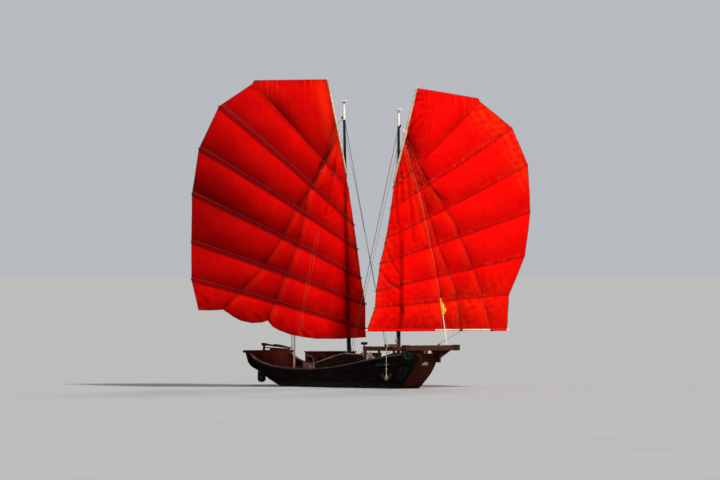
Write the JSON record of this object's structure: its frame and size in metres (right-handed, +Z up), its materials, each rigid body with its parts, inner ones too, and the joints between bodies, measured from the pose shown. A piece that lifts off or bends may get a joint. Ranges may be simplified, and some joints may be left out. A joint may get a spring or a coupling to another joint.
{
  "type": "two-masted battened-sail junk",
  "caption": "Wooden two-masted junk afloat, with a flat raked bow, upswept stern, low cuddy and two fan-shaped battened sails set out on opposite sides.",
  "frame": {"origin": "on the centreline at the water's surface, midway between the ends of the hull", "axes": "+X towards the bow, +Y to port, +Z up"},
  "size_m": [12.256, 11.9874, 14.1605],
  "materials": {
    "tarred_planking": "tarred and weathered, semi-matt",
    "deck_planking": "worn, matt",
    "weathered_rail": "bare, sun-bleached, matt",
    "red_brown_timber": "oiled, worn, semi-matt",
    "black_spar": "black paint, semi-gloss",
    "pale_spar": "varnished pale pole, satin",
    "batten": "stained bamboo, satin",
    "sailcloth": "dyed canvas, matt",
    "dark_rope": "tarred rope, matt",
    "pale_rope": "bare hemp rope, matt",
    "anchor_iron": "pale paint over iron, worn",
    "pennant_cloth": "dyed cloth, matt"
  },
  "bodies": {
    "hull": {"hull_shell": "tarred_planking", "keel": "tarred_planking", "wale_starboard": "tarred_planking", "wale_port": "tarred_planking", "main_deck": "deck_planking", "fore_deck": "deck_planking", "deck_step_bulkhead": "deck_planking", "washboard_starboard": "deck_planking", "washboard_port": "deck_planking", "cuddy_walls": "deck_planking", "cuddy_roof": "deck_planking", "main_partner": "deck_planking", "fore_partner": "deck_planking", "gunwale_cap_starboard": "weathered_rail", "gunwale_cap_port": "weathered_rail", "washboard_cap_starboard": "weathered_rail", "washboard_cap_port": "weathered_rail", "stern_beam": "weathered_rail", "stern_board": "weathered_rail", "rudder_yoke": "weathered_rail", "rudder_bracket": "weathered_rail", "bow_beam": "red_brown_timber", "fore_rail_starboard": "red_brown_timber", "fore_rail_port": "red_brown_timber", "anchor_beam": "red_brown_timber", "mooring_post_starboard": "red_brown_timber", "mooring_post_port": "red_brown_timber", "main_mast": "black_spar", "fore_mast": "black_spar", "main_mast_cap": "black_spar", "fore_mast_cap": "black_spar", "lamp_post": "black_spar", "flag_staff": "pale_spar", "main_stay": "dark_rope", "fore_stay": "dark_rope", "anchor_rope": "pale_rope", "anchor": "anchor_iron", "pennant": "pennant_cloth"},
    "main_rig": {"main_sail": "sailcloth", "main_yard": "pale_spar", "main_batten_1": "batten", "main_batten_2": "batten", "main_batten_3": "batten", "main_batten_4": "batten", "main_batten_5": "batten", "main_batten_6": "batten"},
    "fore_rig": {"fore_sail": "sailcloth", "fore_yard": "pale_spar", "fore_boom": "pale_spar", "fore_batten_1": "batten", "fore_batten_2": "batten", "fore_batten_3": "batten", "fore_batten_4": "batten", "fore_batten_5": "batten", "fore_batten_6": "batten"},
    "rudder": {"rudder_stock": "tarred_planking", "rudder_blade": "tarred_planking", "tiller": "tarred_planking"},
    "door": {"cuddy_door": "red_brown_timber"}
  },
  "joints": [
    {"name": "main_swing", "type": "hinge", "parent": "hull", "child": "main_rig", "pos_m": [-0.3, 0, 0.6], "axis": [-0.0349, 0, 0.9994], "range_deg": [-92, 26]},
    {"name": "fore_swing", "type": "hinge", "parent": "hull", "child": "fore_rig", "pos_m": [3.1, 0, 1.18], "axis": [0, 0, 1], "range_deg": [-7, 67]},
    {"name": "rudder_steer", "type": "hinge", "parent": "hull", "child": "rudder", "pos_m": [-6.38, 0, 1], "axis": [0, 0, 1], "range_deg": [-35, 35]},
    {"name": "cuddy_door_swing", "type": "hinge", "parent": "hull", "child": "door", "pos_m": [-2.388, 0.342, 1], "axis": [0, 0, -1], "range_deg": [0, 110]}
  ]
}
